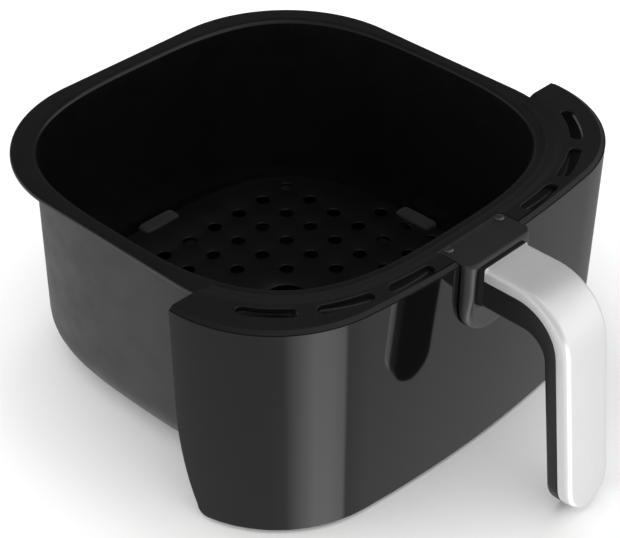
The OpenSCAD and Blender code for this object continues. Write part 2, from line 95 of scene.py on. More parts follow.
class DrawerSizes(bpy.types.PropertyGroup):
    """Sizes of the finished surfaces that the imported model's boxes don't give."""

    rim_radius: length("Rim radius", "Corner radius of the pan's rim", 80)
    mouth_width: length("Mouth width", "Width of the pan's mouth at its lip", 235)
    mouth_depth: length("Mouth depth", "Depth of the pan's mouth at its lip", 231)
    mouth_power: FloatProperty(name="Mouth squareness", default=3.1, min=2, max=6,
                               description="Exponent of the mouth's oval, 2 for an ellipse")
    sheet: length("Pan sheet", "Thickness of the pan's sheet", 1.2)
    lip: length("Lip radius", "Radius between the pan's wall and rim", 2.5)
    rim_edge: length("Rim edge", "Depth of the rim's turned edge", 2.4)
    base_radius: length("Base radius", "Outer radius between wall and base", 25.5)
    draft: degrees("Pan draft", "Slope of the pan's walls", 0.2)
    panel_radius: length("Panel radius", "Corner radius of the panel", 70)
    panel_wall: length("Panel wall", "Thickness of the panel", 3)
    panel_taper: FloatProperty(name="Panel taper", default=0.985, min=0.9, max=1,
                               description="Panel size at its foot as a share of its top")
    sweep_radius: length("Wing sweep", "Radius of the wings' lower rear edges", 177)
    sweep_height: length("Sweep height", "Height where the wings' sweep starts", 68)
    toe_radius: length("Toe radius", "Radius of the wings' lower rear corners", 6)
    frame_gap: length("Frame gap", "Frame's inner edge outside the mouth", 4)
    frame_ramp: length("Frame ramp", "Where the frame's ramp ends, outside the mouth", 13.5)
    slot_out: length("Slot distance", "Middle of the vent slots outside the mouth", 19.5)
    slot_width: length("Slot width", "Width of a vent slot", 6.6)
    slot_start: degrees("First slot", "Angle of the first slot's near end", 37.4)
    slot_step: degrees("Slot step", "Angle from one slot to the next", 14.2)
    slot_span: degrees("Slot span", "Angle between the centres of a slot's ends", 8.5)
    bend_radius: length("Bend radius", "Outer radius of the handle's bend", 33)
    inner_bend: length("Inner bend", "Radius inside the handle's bend", 14)
    grip_lean: degrees("Grip lean", "Lean of the grip away from the panel", 6.6)
    grip_corner: length("Grip corner", "Grip's outer corner from the pan's centre", 198.6)
    cover_depth: length("Cover depth", "Thickness of the silver cover", 7.5)
    grip_depth: length("Grip depth", "Thickness of the grip with its cover", 14.8)
    arm_depth: length("Arm depth", "Thickness of the arm with its cover", 23)
    hole_radius: length("Hole radius", "Radius of the crisper plate's holes", 4)
    hole_pitch: length("Hole pitch", "Distance between the crisper plate's holes", 20)
    finger_radius: length("Finger hole", "Radius of the plate's middle hole", 13)


class DrawerColours(bpy.types.PropertyGroup):
    """Base colours of the finishes, in linear light."""

    coating: colour("Pan coating", "Non-stick coating inside the pan", (0.003, 0.003, 0.0031))
    skirt: colour("Pan outside", "Coating on the pan's outside", (0.024, 0.024, 0.025))
    frame: colour("Vent frame", "Satin black moulding", (0.0045, 0.0045, 0.0047))
    panel: colour("Front panel", "Gloss near-black moulding", (0.0035, 0.0035, 0.0036))
    base: colour("Handle base", "Satin dark grey moulding", (0.011, 0.011, 0.0112))
    grip: colour("Grip", "Satin black inner half of the handle", (0.005, 0.005, 0.0052))
    silver: colour("Silver", "Satin silver cover", (0.89, 0.89, 0.895))
    silicone: colour("Silicone", "Bumpers of the crisper plate", (0.02, 0.02, 0.021))
    floor: colour("Floor", "Pale studio floor", (0.95, 0.95, 0.95))


def sizes():
    return bpy.context.scene.drawer_sizes


def colours():
    return bpy.context.scene.drawer_colours


# ---------------------------------------------------------------- mesh making

class Skin:
    """Gathers grids and loose triangles of points, then merges them into one mesh."""

    def __init__(self):
        self.points = []
        self.faces = []
        self.count = 0

    def grid(self, points, wrap=False, flip=False):
        """Joins a rows x columns x 3 array of points with quads; wrap joins last column to first."""
        rows, cols = points.shape[:2]
        index = np.arange(rows * cols).reshape(rows, cols) + self.count
        if wrap:
            index = np.concatenate([index, index[:, :1]], axis=1)
        quads = np.stack([index[:-1, :-1], index[:-1, 1:], index[1:, 1:], index[1:, :-1]], axis=-1)
        quads = quads.reshape(-1, 4)
        self.faces.append(quads[:, ::-1] if flip else quads)
        self.points.append(points.reshape(-1, 3))
        self.count += rows * cols

    def shell(self, front, back):
        """A closed plate: two faces of the same rows and columns, joined along all four edges."""
        self.grid(front)
        self.grid(back, flip=True)
        for row in (0, -1):
            self.grid(np.array([front[row], back[row]]))
            self.grid(np.array([front[:, row], back[:, row]]))

    def triangles(self, points, faces, flip=False):
        """Loose triangles, given as rows of three indices into their own points."""
        faces = np.asarray(faces) + self.count
        self.faces.append(faces[:, ::-1] if flip else faces)
        self.points.append(points)
        self.count += len(points)

    def build(self, name, smooth_angle=40.0, join=2e-6):
        """One object whose seams and poles are closed and whose faces point outwards."""
        mesh = bpy.data.meshes.new(name)
        faces = [face for block in self.faces for face in block.tolist()]
        mesh.from_pydata(np.concatenate(self.points), [], faces)
        work = bmesh.new()
        work.from_mesh(mesh)
        bmesh.ops.remove_doubles(work, verts=work.verts, dist=join)
        bmesh.ops.dissolve_degenerate(work, edges=work.edges, dist=join)
        bmesh.ops.recalc_face_normals(work, faces=work.faces)
        work.to_mesh(mesh)
        work.free()
        mesh.validate()
        mesh.shade_smooth()
        mesh.set_sharp_from_angle(angle=np.radians(smooth_angle))
        piece = bpy.data.objects.new(name, mesh)
        bpy.context.scene.collection.objects.link(piece)
        return piece


def round_edges(piece, width, angle):
    """Rounds by width the piece's edges that turn by more than angle, in degrees."""
    bevel = piece.modifiers.new("Rounded edges", "BEVEL")
    bevel.width = width
    bevel.segments = 3
    bevel.limit_method = "ANGLE"
    bevel.angle_limit = np.radians(angle)


def dress(piece, material, body, slot, *nodes):
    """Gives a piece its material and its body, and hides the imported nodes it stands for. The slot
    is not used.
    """
    piece.data.materials.clear()
    piece.data.materials.append(material)
    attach(piece, body)
    if nodes:
        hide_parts(*nodes)


def face_data(piece):
    """Normals and centres of a piece's faces."""
    polygons = piece.data.polygons
    normals = np.zeros(len(polygons) * 3)
    centres = np.zeros(len(polygons) * 3)
    polygons.foreach_get("normal", normals)
    polygons.foreach_get("center", centres)
    return normals.reshape(-1, 3), centres.reshape(-1, 3)


def second_material(piece, material, mask):
    """Gives the masked faces a second material."""
    piece.data.materials.append(material)
    piece.data.polygons.foreach_set("material_index", mask.astype(np.int32))


def spread(start, end, count):
    """Count values from start to end, close together at both ends like a cosine's."""
    return start + (end - start) * (1 - np.cos(np.linspace(0, np.pi, count))) / 2


def full_turn(count):
    """Even angles round a full turn, the last one step short of the first."""
    return np.linspace(0, 2 * np.pi, count, endpoint=False)


def quarter_turn(count):
    """Even angles from 0 to a right angle, for rounded corners."""
    return np.linspace(0, np.pi / 2, count)


def smooth_step(x):
    """An S curve, 3x^2 - 2x^3, from 0 at x = 0 to 1 at x = 1 and level beyond both."""
    x = np.clip(x, 0, 1)
    return x * x * (3 - 2 * x)


def rise(distance, radius):
    """A quarter circle's height, 0 at the edge and 1 from radius inwards."""
    return np.sqrt(1 - (1 - np.clip(distance / radius, 0, 1)) ** 2)


def xyz(x, y, z):
    """Points from their three coordinates, which may be arrays or single values."""
    return np.stack(np.broadcast_arrays(x, y, z), axis=-1)


def polar(radius, angle, z):
    """Points round the Z axis, the angle taken from +X towards +Y."""
    return xyz(radius * np.cos(angle), radius * np.sin(angle), z)


# ---------------------------------------------------------------- outlines

def oval_radius(t, half_x, half_y, power):
    """Radius at angle t of the superellipse (|x|/a)^n + (|y|/b)^n = 1."""
    across, along = abs(np.cos(t)) / half_x, abs(np.sin(t)) / half_y
    return (across ** power + along ** power) ** (-1 / power)


def mouth_radius(t, grow=0.0):
    """Radius at angle t of the pan's mouth, grown outwards by a distance on both axes."""
    s = sizes()
    return oval_radius(t, s.mouth_width / 2 + grow, s.mouth_depth / 2 + grow, s.mouth_power)


def rim_radius(t, inset=0.0):
    """Radius at angle t of the rim: where a ray meets a side, an end or a corner's arc."""
    s = sizes()
    c, d = abs(np.cos(t)), abs(np.sin(t))
    half_x = PAN_HIGH.x - inset
    half_y = np.where(np.sin(t) < 0, -PAN_LOW.y, PAN_HIGH.y) - inset
    r = s.rim_radius - inset
    side = half_x / np.maximum(c, 1e-9)
    end = half_y / np.maximum(d, 1e-9)
    cx, cy = half_x - r, half_y - r
    along = cx * c + cy * d
    arc = along + np.sqrt(np.maximum(along ** 2 - cx ** 2 - cy ** 2 + r ** 2, 0))
    return np.where(side * d <= cy, side, np.where(end * c <= cx, end, arc))


class PanelOutline:
    """Top view of the panel: a bowed front, two corner arcs and straight wing ends.

    The bow's radius comes from the width, the reach and the corner radius, so that the bow and
    the corner arcs share a tangent. Places on it are given by arc length from the front's middle.
    """

    def __init__(self):
        s = sizes()
        self.r = s.panel_radius
        self.cx = PANEL_HIGH.x - self.r
        self.wing = -PANEL_HIGH.y
        depth = -PANEL_LOW.y - self.wing
        self.bow = (self.cx ** 2 + depth ** 2 - self.r ** 2) / (2 * (depth - self.r))
        self.bow_y = self.bow + PANEL_LOW.y
        self.turn = np.arctan2(self.cx, self.bow_y + self.wing)
        self.bow_length = self.bow * self.turn
        self.corner_length = self.r * (np.pi / 2 - self.turn)

    def point(self, s, inset=0.0):
        """Point at arc length s, moved inwards by inset along the outline's normal."""
        side = np.sign(s)
        s = abs(s)
        a = np.where(s < self.bow_length, s / self.bow,
                     self.turn + (s - self.bow_length) / self.r)
        a = np.minimum(a, np.pi / 2)
        past = np.maximum(s - self.bow_length - self.corner_length, 0)
        on_bow = s < self.bow_length
        x = np.where(on_bow, (self.bow - inset) * np.sin(a),
                     self.cx + (self.r - inset) * np.sin(a))
        y = np.where(on_bow, self.bow_y - (self.bow - inset) * np.cos(a),
                     -self.wing - (self.r - inset) * np.cos(a)) + past
        return side * x, y

    def length_to(self, y):
        """Arc length from the front's middle to where the outline reaches the line Y = y."""
        c = (-y - self.wing) / self.r
        a = np.arccos(np.clip(c, 0, 1))
        return self.bow_length + self.r * (a - self.turn) + np.maximum(y + self.wing, 0)

    def radius(self, t, inset):
        """Distance from the pan's centre to the outline along angle t, measured from +X to -Y."""
        s = np.linspace(0, self.bow_length + self.corner_length + 0.02, 2000)
        x, y = self.point(s, inset)
        angle = np.arctan2(-y, x)
        order = np.argsort(angle)
        folded = np.where(t > np.pi / 2, np.pi - t, t)
        return np.interp(folded, angle[order], np.hypot(x, y)[order])


# ---------------------------------------------------------------- materials

def shader_of(material):
    return material.node_tree.nodes["Principled BSDF"]


def new_material(name, base, roughness, metallic=0.0, ior=1.5):
    """A Principled material."""
    material = bpy.data.materials.new(name)
    material.use_nodes = True
    shader = shader_of(material)
    shader.inputs["Base Color"].default_value = base
    shader.inputs["Roughness"].default_value = roughness
    shader.inputs["Metallic"].default_value = metallic
    shader.inputs["IOR"].default_value = ior
    material.diffuse_color = base
    return material


def noise(material, scale, detail=2.0, stretch=(1, 1, 1)):
    """Noise on Object coordinates; scale counts its waves in a metre."""
    tree = material.node_tree
    place = tree.nodes.new("ShaderNodeTexCoord")
    mapping = tree.nodes.new("ShaderNodeMapping")
    mapping.inputs["Scale"].default_value = stretch
    tree.links.new(place.outputs["Object"], mapping.inputs["Vector"])
    texture = tree.nodes.new("ShaderNodeTexNoise")
    texture.inputs["Scale"].default_value = scale
    texture.inputs["Detail"].default_value = detail
    tree.links.new(mapping.outputs["Vector"], texture.inputs["Vector"])
    return texture.outputs["Fac"]


def vary(material, socket, source, low, high):
    """Drives a shader socket between low and high by a 0..1 pattern."""
    tree = material.node_tree
    span = tree.nodes.new("ShaderNodeMapRange")
    span.inputs["From Min"].default_value = 0.3
    span.inputs["From Max"].default_value = 0.7
    span.inputs["To Min"].default_value = low
    span.inputs["To Max"].default_value = high
    tree.links.new(source, span.inputs["Value"])
    tree.links.new(span.outputs["Result"], shader_of(material).inputs[socket])


def tint(material, source, low, high):
    """Varies the base colour between two colours by a 0..1 pattern."""
    tree = material.node_tree
    ramp = tree.nodes.new("ShaderNodeValToRGB")
    ramp.color_ramp.elements[0].position = 0.3
    ramp.color_ramp.elements[0].color = low
    ramp.color_ramp.elements[1].position = 0.7
    ramp.color_ramp.elements[1].color = high
    tree.links.new(source, ramp.inputs["Fac"])
    tree.links.new(ramp.outputs["Color"], shader_of(material).inputs["Base Color"])


def emboss(material, source, distance):
    """Raises the surface by a 0..1 pattern, up to distance."""
    tree = material.node_tree
    bump = tree.nodes.new("ShaderNodeBump")
    bump.inputs["Strength"].default_value = 1.0
    bump.inputs["Distance"].default_value = distance
    tree.links.new(source, bump.inputs["Height"])
    tree.links.new(bump.outputs["Normal"], shader_of(material).inputs["Normal"])


def shade(rgba, factor):
    """The colour made darker or lighter by a factor."""
    return (rgba[0] * factor, rgba[1] * factor, rgba[2] * factor, 1.0)


def moulded(name, rgba, roughness, specular=0.5):
    """Moulded plastic: fine spark-eroded grain and slight sheen changes."""
    material = new_material(name, rgba, roughness)
    shader_of(material).inputs["Specular IOR Level"].default_value = specular
    patches = noise(material, 45, 3)
    tint(material, patches, shade(rgba, 0.88), shade(rgba, 1.12))
    vary(material, "Roughness", patches, roughness * 0.93, roughness * 1.07)
    emboss(material, noise(material, 2600, 1), 0.00004)
    return material


def non_stick(name, rgba, roughness):
    """Sprayed non-stick coating: orange-peel ripple, fine speckle and faint scuffs."""
    material = new_material(name, rgba, roughness)
    speckle = noise(material, 1800, 2)
    tint(material, speckle, shade(rgba, 0.8), shade(rgba, 1.25))
    vary(material, "Roughness", noise(material, 60, 4), roughness * 0.85, roughness * 1.15)
    emboss(material, noise(material, 700, 2), 0.00005)
    return material


def gloss_moulding(name, rgba):
    """High-gloss moulding: nearly a perfect mirror, with a trace of ripple."""
    material = new_material(name, rgba, 0.05, ior=1.38)
    vary(material, "Roughness", noise(material, 30, 3), 0.035, 0.06)
    emboss(material, noise(material, 24, 1), 0.00002)
    return material


def silver_paint(name, rgba):
    """Satin silver paint: metal flakes that change its tone and sheen slightly."""
    material = new_material(name, rgba, 0.34, metallic=0.72)
    flakes = noise(material, 3200, 2)
    tint(material, flakes, shade(rgba, 0.94), shade(rgba, 1.05))
    vary(material, "Roughness", noise(material, 55, 3), 0.32, 0.37)
    emboss(material, flakes, 0.00001)
    return material


def sheet_metal(name, rgba, roughness, stretch=(1, 1, 1)):
    """Bare sheet or turned metal: brushed by stretched noise."""
    material = new_material(name, rgba, roughness, metallic=1.0)
    lines = noise(material, 900, 3, stretch)
    tint(material, lines, shade(rgba, 0.86), shade(rgba, 1.08))
    vary(material, "Roughness", lines, roughness * 0.8, roughness * 1.2)
    emboss(material, lines, 0.00001)
    return material


def rubbery(name, rgba):
    """Silicone: matte with a soft bloom."""
    material = new_material(name, rgba, 0.62)
    shader_of(material).inputs["Sheen Weight"].default_value = 0.15
    tint(material, noise(material, 120, 3), shade(rgba, 0.85), shade(rgba, 1.2))
    emboss(material, noise(material, 1500, 2), 0.00004)
    return material


# ---------------------------------------------------------------- pan

def wall_inset(z):
    """How far the pan's inner wall at height z stands inside its outer wall's top."""
    s = sizes()
    return s.sheet + (PAN_HIGH.z - s.lip - z) * np.tan(s.draft)


def floor_press(share):
    """Height pressed up in the pan's floor, at a share of the way from its middle to its edge."""
    return 0.0007 * (1 - smooth_step((share - 0.80) / 0.06))


def pan_rings(t):
    """Rings of the pan's skin, from the floor's middle up the inside, over the rim and down.

    Every ring is the mouth's oval, drawn in by some inset, at some height: fillets are quarter
    circles in (inset, height). The rim's rings are the rounded rectangle, and the flange between
    lip and rim is a straight blend of the two.
    """
    s = sizes()
    top = PAN_HIGH.z

    def oval(inset, z):
        return polar(mouth_radius(t, -inset), t, z)

    def rim(inset, z):
        return polar(rim_radius(t, inset), t, z)

    rings = []
    inner = s.base_radius - s.sheet
    edge = oval(wall_inset(s.base_radius) + inner, s.sheet)
    for share in np.linspace(0, 1, 16):
        ring = edge * share
        ring[:, 2] = s.sheet + floor_press(share)
        rings.append(ring)
    for a in quarter_turn(11)[1:]:
        rings.append(oval(wall_inset(s.base_radius) + inner * (1 - np.sin(a)),
                          s.sheet + inner * (1 - np.cos(a))))
    for z in np.linspace(s.base_radius, top - s.lip, 14)[1:]:
        rings.append(oval(wall_inset(z), z))
    for a in quarter_turn(9)[1:]:
        rings.append(oval(s.sheet - s.lip + s.lip * np.cos(a), top - s.lip + s.lip * np.sin(a)))
    roll = s.rim_edge * 0.6
    lip, out = rings[-1], rim(roll, top)
    for share in (0.2, 0.4, 0.6, 0.8):
        rings.append(lip + (out - lip) * share)
    for a in quarter_turn(7):
        rings.append(rim(roll * (1 - np.sin(a)), top - roll * (1 - np.cos(a))))
    break_edge = 0.0003
    for inset, drop in ((0, s.rim_edge - break_edge), (break_edge, s.rim_edge),
                        (s.sheet - break_edge, s.rim_edge), (s.sheet, s.rim_edge - break_edge),
                        (s.sheet, s.sheet + break_edge), (s.sheet + 0.0004, s.sheet)):
        rings.append(rim(inset, top - drop))
    outer_lip = s.lip - s.sheet
    for a in np.linspace(np.pi / 2, 0, 7):
        rings.append(oval(outer_lip * (np.cos(a) - 1), top - s.lip + outer_lip * np.sin(a)))
    for z in np.linspace(top - s.lip, s.base_radius, 14)[1:]:
        rings.append(oval(wall_inset(z) - s.sheet, z))
    start = wall_inset(s.base_radius) - s.sheet
    for a in np.linspace(np.pi / 2, 0, 11)[1:]:
        rings.append(oval(start + s.base_radius * (1 - np.sin(a)),
                          s.base_radius * (1 - np.cos(a))))
    foot = rings[-1]
    for share in np.linspace(1, 0, 16)[1:]:
        ring = foot * share
        ring[:, 2] = floor_press(share)
        rings.append(ring)
    return np.array(rings)


class DRAWER_OT_pan(bpy.types.Operator):
    """Deep-drawn pan with a rolled lip, a flat rim and a turned-down edge"""

    bl_idname = "drawer.pan"
    bl_label = "Pan"

    def execute(self, context):
        t = full_turn(288)
        skin = Skin()
        skin.grid(pan_rings(t), wrap=True)
        piece = skin.build("pan_shell", smooth_angle=50)
        inside = non_stick("Non-stick coating", colours().coating, 0.28)
        outside = non_stick("Pan outside coating", colours().skirt, 0.42)
        dress(piece, inside, "drawer", "nonstick", "pan")
        normals, centres = face_data(piece)
        outwards = (normals[:, :2] * centres[:, :2]).sum(axis=1) > 0
        skirt = outwards & (normals[:, 2] < 0.5) | (normals[:, 2] < -0.3)
        second_material(piece, outside, skirt)
        return {"FINISHED"}


# ---------------------------------------------------------------- vent frame

# The foot of the frame's ramp: outside the frame's inner edge, and above its underside
RAMP_START = 0.0035
RAMP_FOOT = 0.0008


def ramp_profile(share, top):
    """The ramp up to height top, at shares 0..1 of its run: distance outside the mouth, height."""
    s = sizes()
    start, foot = s.frame_gap + RAMP_START, FRAME_LOW.z + RAMP_FOOT
    return start + (s.frame_ramp - start) * share, foot + (top - foot) * smooth_step(share) ** 0.9


class FrameField:
    """The vent frame as rows of curves round the mouth, from its inner edge to its outer edge.

    A place is (t, row): t is the angle from +X towards -Y, and each row is a radius that depends
    on t. Rows near the wings stop at the line Y = -wing, so their angles are squeezed there.
    """

    def __init__(self):
        s = sizes()
        self.outline = PanelOutline()
        self.first = s.slot_start - np.radians(2.6)     # where the slots' blocks of columns start
        self.cell = 0.0044                              # half the width of a slot's cell
        self.floor = FRAME_LOW.z
        self.top = FRAME_HIGH.z
        self.step = PANEL_HIGH.z
        self.notch = BASE_HIGH.x + 0.0003
        self.shelf = PANEL_HIGH.z - 0.0001

    def slot_path(self, t):
        """Radius of the line that the vent slots follow, a little flatter than the mouth."""
        s = sizes()
        flatter = 0.0015
        return oval_radius(t, s.mouth_width / 2 + s.slot_out,
                           s.mouth_depth / 2 + s.slot_out - flatter, s.mouth_power)

    def rows(self):
        """Radius functions from the inner edge outwards, each with its top and bottom height."""
        s = sizes()
        top, floor, step = self.top, self.floor, self.step
        rows = []
        for out, lift in ((0, 0), (0.0001, 0.0004), (0.0004, 0.0006), (RAMP_START, RAMP_FOOT)):
            rows.append((lambda t, g=s.frame_gap + out: mouth_radius(t, g), floor + lift, floor))
        for grow, height in zip(*ramp_profile(np.linspace(0, 1, 8)[1:], top)):
            rows.append((lambda t, g=grow: mouth_radius(t, g), height, floor))
        rows.append((lambda t: self.slot_path(t) - self.cell, top, floor))
        self.cell_row = len(rows) - 1
        rows.append((lambda t: self.slot_path(t) + self.cell, top, floor))
        wall = s.panel_wall + 0.0003
        rows.append((lambda t: self.outline.radius(t, wall + 0.0001), top, floor))
        rows.append((lambda t: self.outline.radius(t, wall), top, step))
        for inset, drop in ((0.0029, 0.00002), (0.0027, 0.0001), (0.0025, 0.00022),
                            (0.0022, 0.00042), (0.0014, 0.00104), (0.0006, 0.0016)):
            rows.append((lambda t, i=inset: self.outline.radius(t, i), top - drop, step))
        return rows

    def wing_angle(self, radius):
        """Angle at which a row meets the wing's rear edge, found by repeated substitution."""
        wing = self.outline.wing
        t = 0.45
        for _ in range(40):
            t = 0.5 * t + 0.5 * np.arcsin(wing / radius(np.array([t]))[0])
        return t


def slot_ends():
    """Centre angles of every vent slot's two ends, the right-hand three then the left."""
    s = sizes()
    right = [(s.slot_start + i * s.slot_step, s.slot_start + i * s.slot_step + s.slot_span)
             for i in range(3)]
    return right + [(np.pi - b, np.pi - a) for a, b in reversed(right)]


def notch_columns(count):
    """Columns over the base's notch: 1..2 runs outside it, -1..1 inside, doubled at its walls."""
    outer = np.linspace(2, 1, 5)
    just_in = 0.9995
    inner = np.linspace(just_in, -just_in, count - 2 * len(outer))
    return np.concatenate([outer, inner, -outer[::-1]])


def frame_sheet(skin, field, rows, under):
    """One face of the frame: a grid along every row, with a ring patch round each slot.

    Blocks of columns are plain and slotted by turns; the plain one in the middle has the base's
    notch. Between the two rows beside the slots, each slot's cell is filled by rings that morph
    from the slot's round-ended outline to the cell's border.
    """
    ends = slot_ends()
    notch_block = len(ends)
    slots_away = 0.155      # about the slots' distance from the pan's centre
    margin = field.cell / slots_away
    cuts = [field.first]
    for a, b in ends:
        cuts += [a - margin, b + margin]
    cuts.append(np.pi - field.first)
    blocks = []
    for i in range(len(cuts) - 1):
        count = 29 if i % 2 else 23 if i == notch_block else 9
        blocks.append(np.linspace(cuts[i], cuts[i + 1], count))
    columns = np.concatenate([blocks[0]] + [b[1:] for b in blocks[1:]])
    wings = [field.wing_angle(radius) for radius, _, _ in rows]
    lines = []
    across = notch_columns(len(blocks[notch_block]))
    for (radius, high, low), wing in zip(rows, wings):
        share = np.linspace(0, 1, 13)[:-1]
        right = wing + (field.first - wing) * share
        t = np.concatenate([right, columns, np.pi - right[::-1]])
        start = len(right) + sum(len(b) - 1 for b in blocks[:notch_block])
        middle = slice(start, start + len(across))
        edge_x = (radius(t[middle]) * np.cos(t[middle]))[0]
        outside = np.sign(across) * (field.notch + (edge_x - field.notch) * (abs(across) - 1))
        x = np.where(abs(across) > 1, outside, across * field.notch)
        for _ in range(5):
            t[middle] = np.arccos(x / radius(t[middle]))
        z = np.full(len(t), low if under else high)
        z[middle] = np.where(abs(across) < 1, np.minimum(z[middle], field.shelf), z[middle])
        lines.append(polar(radius(t), -t, z))
    k = field.cell_row
    skin.grid(np.array(lines[:k + 1]), flip=under)
    skin.grid(np.array(lines[k + 1:]), flip=under)
    band = lines[k] + (lines[k + 1] - lines[k]) * np.linspace(0, 1, 9)[:, None, None]
    at = len(right)
    skin.grid(band[:, :at + 1], flip=under)
    skin.grid(band[:, -at - 1:], flip=under)
    z = rows[k][2] if under else rows[k][1]
    for i, block in enumerate(blocks):
        n = len(block)
        if i % 2 == 0:
            skin.grid(band[:, at:at + n], flip=under)
        else:
            slot_patch(skin, field, band[:, at:at + n], block, ends[i // 2], z, under)
        at += n - 1
    return lines


def slot_patch(skin, field, cell, columns, ends, z, under):
    """Rings from a slot's outline to its cell's border, with a rounded upper edge.

    A point of a ring is the nearest point of the slot's middle line + distance * direction.
    """
    half = sizes().slot_width / 2
    n = len(columns)
    rows = cell.shape[0]
    across = np.linspace(-field.cell, field.cell, rows)
    t = np.concatenate([columns, np.full(rows - 2, columns[-1]), columns[::-1],
                        np.full(rows - 2, columns[0])])
    off = np.concatenate([np.full(n, across[0]), across[1:-1], np.full(n, across[-1]),
                          across[-2:0:-1]])
    border = np.concatenate([cell[0], cell[1:-1, -1], cell[-1, ::-1], cell[-2:0:-1, 0]])
    middle = np.clip(t, *ends)
    path = field.slot_path(middle)
    along = (t - middle) * path
    reach = np.hypot(along, off)
    along, off = along / reach, off / reach

    def ring(distance, height):
        a = middle + distance * along / path
        return polar(field.slot_path(a) + distance * off, -a, height)

    edge = 0.0006
    rings = []
    if under:
        rings.append(ring(half, z))
    else:
        rings.append(ring(half, field.floor))
        for a in quarter_turn(5):
            rings.append(ring(half + edge * (1 - np.cos(a)), z - edge * (1 - np.sin(a))))
    rings.append(border)
    skin.grid(np.array(rings), wrap=True, flip=under)


class DRAWER_OT_vent_frame(bpy.types.Operator):
    """Top frame with a ramped inner band, a sloped outer edge and six rounded vent slots"""

    bl_idname = "drawer.vent_frame"
    bl_label = "Vent frame"

    def execute(self, context):
        field = FrameField()
        rows = field.rows()
        skin = Skin()
        top = frame_sheet(skin, field, rows, under=False)
        bottom = frame_sheet(skin, field, rows, under=True)
        skin.grid(np.array([top[-1], bottom[-1]]))
        for end in (0, -1):
            skin.grid(np.array([[line[end] for line in top], [line[end] for line in bottom]]))
        piece = skin.build("vent_frame_top", smooth_angle=38)
        satin = moulded("Satin black moulding", colours().frame, 0.38, specular=0.4)
        dress(piece, satin, "drawer", "frame_plastic", "vent_frame")
        return {"FINISHED"}


# ---------------------------------------------------------------- front panel

def panel_heights():
    """Heights of the panel's rows with the Y of its rear edge: toe arc, sweep, then straight."""
    s = sizes()
    foot, top, wing = PANEL_LOW.z, PANEL_HIGH.z, -PANEL_HIGH.y

    def sweep(z):
        lift = np.clip((s.sweep_height - z) / s.sweep_radius, 0, 1)
        return -wing - s.sweep_radius * (1 - np.sqrt(1 - lift ** 2))

    a = np.radians(np.linspace(90, 20, 9))
    toe = sweep(foot + s.toe_radius)
    z_toe = foot + s.toe_radius * (1 - np.sin(a))
    y_toe = toe - s.toe_radius * (1 - np.cos(a))
    z_up = np.linspace(foot + s.toe_radius, top, 42)
    return np.concatenate([z_toe, z_up]), np.concatenate([y_toe, sweep(z_up)])


def panel_surface(inset, z, rear):
    """The panel's face as a grid: arc length across, height up, the taper a scale about Z.

    At height z the outline is scaled by k = 1 - (1 - taper) * (top - z) / height, and its arc
    length runs to where it meets the rear edge there.
    """
    outline = PanelOutline()
    s = sizes()
    k = 1 - (1 - s.panel_taper) * (PANEL_HIGH.z - z) / (PANEL_HIGH.z - PANEL_LOW.z)
    reach = outline.length_to(rear / k)
    u = np.linspace(-1, 1, 161)
    x, y = outline.point(reach[:, None] * u[None, :], inset)
    return xyz(x * k[:, None], y * k[:, None], z[:, None])


class DRAWER_OT_front_panel(bpy.types.Operator):
    """Curved gloss panel with swept wings and rounded edges"""

    bl_idname = "drawer.front_panel"
    bl_label = "Front panel"

    def execute(self, context):
        z, rear = panel_heights()
        outer = panel_surface(0.0, z, rear)
        inner = panel_surface(sizes().panel_wall, z, rear)
        skin = Skin()
        skin.shell(outer, inner)
        piece = skin.build("front_panel_shell", smooth_angle=35)
        round_edges(piece, 0.0009, angle=50)
        gloss = gloss_moulding("Gloss black moulding", colours().panel)
        dress(piece, gloss, "drawer", "panel_gloss", "front_panel")
        matte = moulded("Matte inner face", colours().panel, 0.7, specular=0.15)
        normals, centres = face_data(piece)
        outwards = centres[:, :2] - (0, PANEL_HIGH.y)
        facing = (normals[:, :2] * outwards).sum(axis=1)
        second_material(piece, matte, facing < -0.3 * np.hypot(*outwards.T))
        return {"FINISHED"}


# ---------------------------------------------------------------- handle base

# The tongue's back face, and thicknesses in front of it: at its edge, at its foot and at the collar
BASE_BACK = BASE_LOW.y + 0.008
PAD_EDGE = 0.0012
PAD_FOOT = 0.0036
COLLAR = 0.0064
# Radii of the pad's top and side roundings, and the groove beside the arm
PAD_ROLL = 0.0024
PAD_SIDE = 0.0048
GROOVE_WIDTH = 0.004
GROOVE_DEPTH = 0.0014


